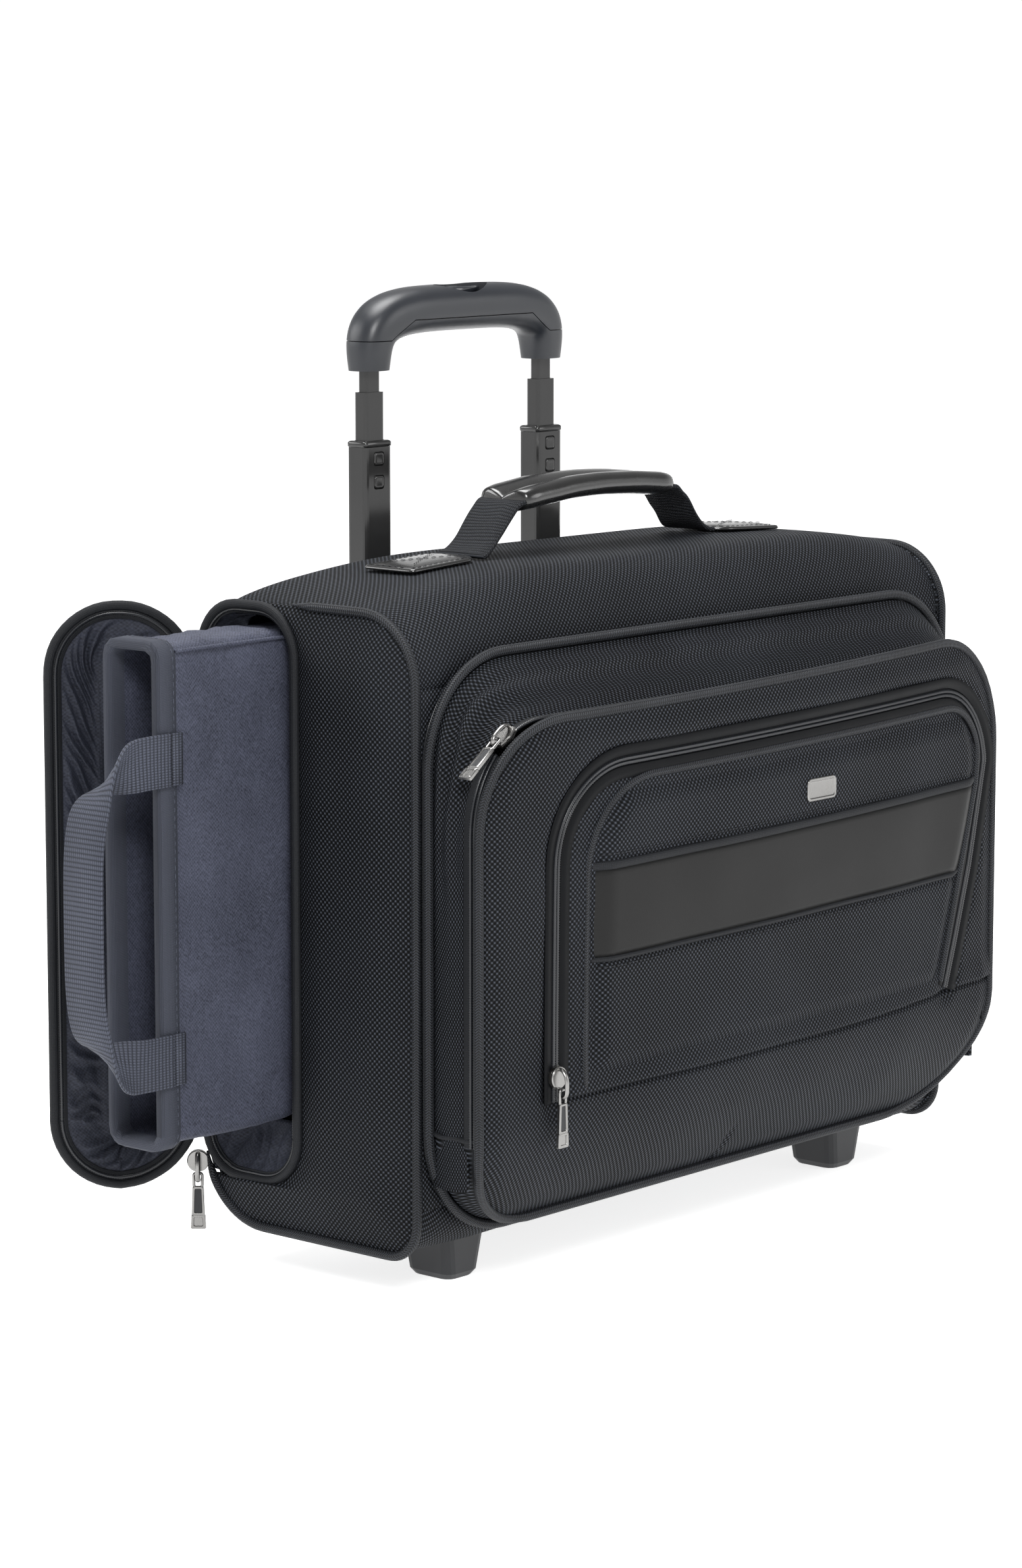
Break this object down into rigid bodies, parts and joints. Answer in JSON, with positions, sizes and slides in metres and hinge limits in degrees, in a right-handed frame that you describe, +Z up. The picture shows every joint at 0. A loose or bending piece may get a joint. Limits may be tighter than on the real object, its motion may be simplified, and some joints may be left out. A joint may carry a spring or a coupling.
{
  "type": "rolling laptop case",
  "caption": "Two-wheeled fabric laptop case with telescoping handle, pull-out padded sleeve, hinged end door, organiser lid, front pockets and padded carry handle.",
  "frame": {"origin": "centre of the part's outer box on the floor plane under the feet and wheels", "axes": "+X across the case, away from the laptop door; +Y from the front pocket to the wheels; +Z up"},
  "size_m": [0.5684, 0.2534, 0.4779],
  "materials": {
    "nylon": "coarse ribbed ballistic nylon",
    "piping": "woven cord edging",
    "zip": "coil zip tape",
    "lining": "smooth brushed polyester lining",
    "lining_webbing": "ribbed polyester webbing",
    "webbing": "ribbed nylon webbing",
    "faux_leather": "semi-matte grained leather cloth",
    "gloss_leather": "glossy grained leather cloth",
    "tube": "gloss black painted aluminium",
    "grip_plastic": "satin grey moulded plastic",
    "gloss_plastic": "gloss black moulded plastic",
    "chassis_plastic": "matte dark grey moulded plastic",
    "nickel": "satin nickel-plated zinc casting",
    "rubber": "matte black rubber tread"
  },
  "bodies": {
    "shell": {"back_panel": "nylon", "top_panel": "nylon", "bottom_panel": "nylon", "left_end_panel": "nylon", "right_end_panel": "nylon", "compartment_divider": "lining", "laptop_opening_rim": "piping", "main_opening_frame": "nylon", "end_piping": "piping", "main_zip": "zip", "laptop_zip_slider": "nickel", "trolley_cover": "nylon", "guide_tube_left": "tube", "guide_tube_right": "tube", "base_beam": "chassis_plastic", "foot_left": "chassis_plastic", "foot_right": "chassis_plastic", "handle_patch_left": "gloss_leather", "handle_patch_right": "gloss_leather"},
    "organiser_lid": {"organiser_back_panel": "nylon", "organiser_gusset": "nylon", "organiser_piping": "piping", "front_pocket_gusset_left": "nylon", "front_pocket_gusset_right": "nylon", "front_pocket_zip": "zip"},
    "front_pocket": {"front_pocket_panel": "nylon", "front_pocket_piping": "piping", "small_pocket_panel": "nylon", "small_pocket_zip": "zip", "trim_band": "faux_leather", "badge_plate": "nickel"},
    "front_pocket_zip_slider": {"front_pocket_zip_slider": "nickel"},
    "front_pocket_zip_pull": {"front_pocket_zip_pull": "nickel"},
    "small_pocket_zip_slider": {"small_pocket_zip_slider": "nickel"},
    "small_pocket_zip_pull": {"small_pocket_zip_pull": "nickel"},
    "laptop_zip_pull": {"laptop_zip_pull": "nickel"},
    "main_zip_slider": {"main_zip_slider": "nickel"},
    "main_zip_pull": {"main_zip_pull": "nickel"},
    "laptop_door": {"laptop_door_panel": "nylon", "laptop_door_rim": "piping"},
    "laptop_sleeve": {"sleeve_front_panel": "lining", "sleeve_back_panel": "lining", "sleeve_gusset": "lining", "sleeve_mouth_binding": "lining_webbing"},
    "sleeve_handle": {"sleeve_handle": "lining_webbing"},
    "carry_handle": {"handle_webbing": "webbing", "handle_grip": "gloss_leather"},
    "outer_stage": {"outer_tube_left": "tube", "outer_tube_right": "tube", "outer_tube_plug_left": "gloss_plastic", "outer_tube_plug_right": "gloss_plastic"},
    "middle_stage": {"middle_tube_left": "tube", "middle_tube_right": "tube"},
    "grip_stage": {"inner_tube_left": "tube", "inner_tube_right": "tube", "grip_lower_shell": "grip_plastic", "grip_upper_shell": "grip_plastic"},
    "release_button": {"release_button": "gloss_plastic"},
    "wheel_left": {"wheel_left": "rubber"},
    "wheel_right": {"wheel_right": "rubber"}
  },
  "joints": [
    {"name": "trolley_outer_slide", "type": "slide", "parent": "shell", "child": "outer_stage", "axis": [0, 0, 1], "range_m": [-0.065, 0.16]},
    {"name": "trolley_middle_slide", "type": "slide", "parent": "outer_stage", "child": "middle_stage", "axis": [0, 0, 1], "range_m": [-0.022, 0.2]},
    {"name": "trolley_inner_slide", "type": "slide", "parent": "middle_stage", "child": "grip_stage", "axis": [0, 0, 1], "range_m": [-0.01, 0.19]},
    {"name": "release_button_press", "type": "slide", "parent": "grip_stage", "child": "release_button", "axis": [0, 0, -1], "range_m": [0, 0.0025], "stiffness_N_per_m": 400, "springref_m": -0.0005},
    {"name": "wheel_left_spin", "type": "hinge", "parent": "shell", "child": "wheel_left", "pos_m": [-0.05955, 0.08298, 0.024], "axis": [1, 0, 0], "continuous": true},
    {"name": "wheel_right_spin", "type": "hinge", "parent": "shell", "child": "wheel_right", "pos_m": [0.18885, 0.08298, 0.024], "axis": [1, 0, 0], "continuous": true},
    {"name": "laptop_sleeve_slide", "type": "slide", "parent": "shell", "child": "laptop_sleeve", "axis": [-1, 0, 0], "range_m": [-0.083, 0.15]},
    {"name": "sleeve_handle_swing", "type": "hinge", "parent": "laptop_sleeve", "child": "sleeve_handle", "pos_m": [-0.22535, 0.01158, 0.194], "axis": [0, 0, 1], "range_deg": [-2, 60]},
    {"name": "laptop_door_swing", "type": "hinge", "parent": "shell", "child": "laptop_door", "pos_m": [-0.14535, 0.06848, 0.184], "axis": [0, 0, 1], "range_deg": [-48, 52]},
    {"name": "laptop_zip_pull_swing", "type": "hinge", "parent": "shell", "child": "laptop_zip_pull", "pos_m": [-0.15035, 0.07148, 0.043], "axis": [-0.6606, 0.7507, 0], "range_deg": [0, 60]},
    {"name": "organiser_swing", "type": "hinge", "parent": "shell", "child": "organiser_lid", "pos_m": [0.06465, -0.07552, 0.03], "axis": [1, 0, 0], "range_deg": [0, 70]},
    {"name": "front_pocket_swing", "type": "hinge", "parent": "organiser_lid", "child": "front_pocket", "pos_m": [0.06465, -0.08202, 0.036], "axis": [1, 0, 0], "range_deg": [0, 35]},
    {"name": "front_pocket_zip_travel", "type": "hinge", "parent": "organiser_lid", "child": "front_pocket_zip_slider", "pos_m": [-0.09085, -0.10512, 0.233], "axis": [0, 1, 0], "range_deg": [-8, 36]},
    {"name": "front_pocket_zip_pull_swing", "type": "hinge", "parent": "front_pocket_zip_slider", "child": "front_pocket_zip_pull", "pos_m": [-0.12502, -0.10512, 0.27673], "axis": [0, 1, 0], "range_deg": [0, 100]},
    {"name": "small_pocket_zip_slide", "type": "slide", "parent": "front_pocket", "child": "small_pocket_zip_slider", "axis": [0, -0.0092, 1], "range_m": [0, 0.105]},
    {"name": "small_pocket_zip_pull_swing", "type": "hinge", "parent": "small_pocket_zip_slider", "child": "small_pocket_zip_pull", "pos_m": [-0.09335, -0.11942, 0.104], "axis": [-1, 0, 0], "range_deg": [0, 100]},
    {"name": "main_zip_slide", "type": "slide", "parent": "shell", "child": "main_zip_slider", "axis": [0, 0, 1], "range_m": [0, 0.15]},
    {"name": "main_zip_pull_swing", "type": "hinge", "parent": "main_zip_slider", "child": "main_zip_pull", "pos_m": [0.28165, -0.07452, 0.092], "axis": [0, -1, 0], "range_deg": [0, 90]},
    {"name": "carry_handle_swing", "type": "hinge", "parent": "shell", "child": "carry_handle", "pos_m": [0.06465, 0.00448, 0.349], "axis": [1, 0, 0], "range_deg": [-38, 38], "deforming": ["handle_webbing"]}
  ]
}
